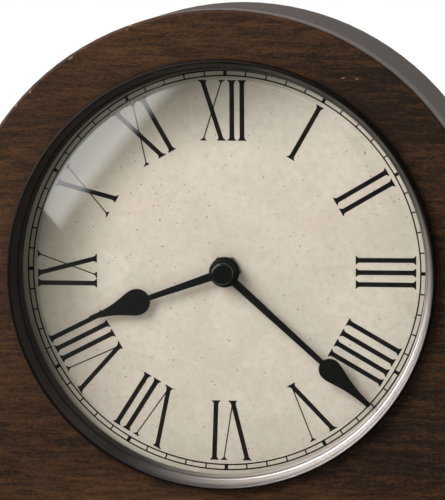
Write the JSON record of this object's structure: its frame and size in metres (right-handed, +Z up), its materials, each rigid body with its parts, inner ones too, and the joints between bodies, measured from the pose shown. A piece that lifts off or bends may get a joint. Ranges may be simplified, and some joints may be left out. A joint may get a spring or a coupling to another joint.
{
  "type": "tambour mantel clock",
  "caption": "Tambour mantel clock with a round Roman-numeral dial under domed glass, spade hands, a battery movement, a moulded plinth and a hinged door in its back.",
  "frame": {"origin": "middle of the footprint, at the bottom of the feet", "axes": "+Z up, the dial faces -Y, +X to the right of a person who faces the dial"},
  "size_m": [0.434, 0.091, 0.235],
  "materials": {
    "walnut": "dark satin lacquer on walnut",
    "back_panel": "stained hardboard",
    "softwood": "plain planed softwood",
    "pewter": "brushed nickel, slightly warm",
    "glass": "clear domed glass",
    "dial_print": "aged cream print",
    "hand_black": "satin black",
    "brass": "lacquered brass",
    "steel": "zinc-plated steel",
    "case_plastic": "black moulded plastic",
    "wheel_plastic": "natural moulded plastic",
    "rubber": "black rubber",
    "felt_foot": "dark soft pad",
    "copper": "enamelled copper wire",
    "board_green": "green lacquered board",
    "battery_wrap": "plain dark wrap",
    "magnet": "dark ferrite and steel"
  },
  "bodies": {
    "case": {"front_board": "walnut", "case_wrap": "walnut", "back_board": "back_panel", "back_board_screws": "steel", "plinth": "walnut", "glue_blocks": "softwood", "case_screws": "steel", "feet": "felt_foot", "bezel_ring": "pewter", "glass": "glass", "glass_retainer": "case_plastic", "dial_plate": "dial_print", "dial_screws": "steel", "threaded_bush": "brass", "flat_washer": "brass", "hex_nut": "hand_black", "rubber_washer": "rubber", "movement_front": "case_plastic", "movement_back": "case_plastic", "battery": "battery_wrap", "battery_contacts": "steel", "circuit_board": "board_green", "motor_stator": "steel", "motor_coil": "copper", "hinge_case_leaves": "brass", "hinge_pins": "brass", "hinge_case_screws": "brass", "door_magnet": "magnet"},
    "minute_hand_train": {"minute_hand": "hand_black", "hand_cap": "hand_black", "centre_wheel": "brass"},
    "hour_hand_train": {"hour_hand": "hand_black", "hour_wheel": "wheel_plastic"},
    "minute_wheel": {"minute_wheel": "wheel_plastic"},
    "third_wheel": {"third_wheel": "wheel_plastic"},
    "seconds_wheel": {"seconds_wheel": "wheel_plastic"},
    "set_knob": {"set_knob": "wheel_plastic"},
    "back_door": {"back_door": "back_panel", "door_knob": "brass", "hinge_door_leaves": "brass", "hinge_door_screws": "brass", "strike_plate": "steel"}
  },
  "joints": [
    {"name": "minute_hand_turn", "type": "hinge", "parent": "case", "child": "minute_hand_train", "pos_m": [0, -0.0085, 0.13595], "axis": [0, 1, 0], "continuous": true},
    {"name": "hour_hand_turn", "type": "hinge", "parent": "case", "child": "hour_hand_train", "pos_m": [0, -0.0085, 0.13595], "axis": [0, 1, 0], "continuous": true},
    {"name": "minute_wheel_turn", "type": "hinge", "parent": "case", "child": "minute_wheel", "pos_m": [0.00689, -0.0085, 0.14173], "axis": [0, 1, 0], "continuous": true},
    {"name": "third_wheel_turn", "type": "hinge", "parent": "case", "child": "third_wheel", "pos_m": [-0.00795, -0.0085, 0.14054], "axis": [0, 1, 0], "continuous": true},
    {"name": "seconds_wheel_turn", "type": "hinge", "parent": "case", "child": "seconds_wheel", "pos_m": [0, -0.0085, 0.13595], "axis": [0, 1, 0], "continuous": true},
    {"name": "set_knob_turn", "type": "hinge", "parent": "case", "child": "set_knob", "pos_m": [0.01535, -0.0085, 0.14481], "axis": [0, 1, 0], "continuous": true},
    {"name": "back_door_swing", "type": "hinge", "parent": "case", "child": "back_door", "pos_m": [0.0556, 0.0332, 0.13595], "axis": [0, 0, -1], "range_deg": [0, 110]}
  ],
  "couplings": [
    {"joint": "hour_hand_turn", "follows": "minute_hand_turn", "ratio": 0.083333},
    {"joint": "minute_wheel_turn", "follows": "minute_hand_turn", "ratio": -0.33333},
    {"joint": "third_wheel_turn", "follows": "minute_hand_turn", "ratio": -7.5},
    {"joint": "seconds_wheel_turn", "follows": "minute_hand_turn", "ratio": 60},
    {"joint": "set_knob_turn", "follows": "minute_hand_turn", "ratio": 1}
  ]
}
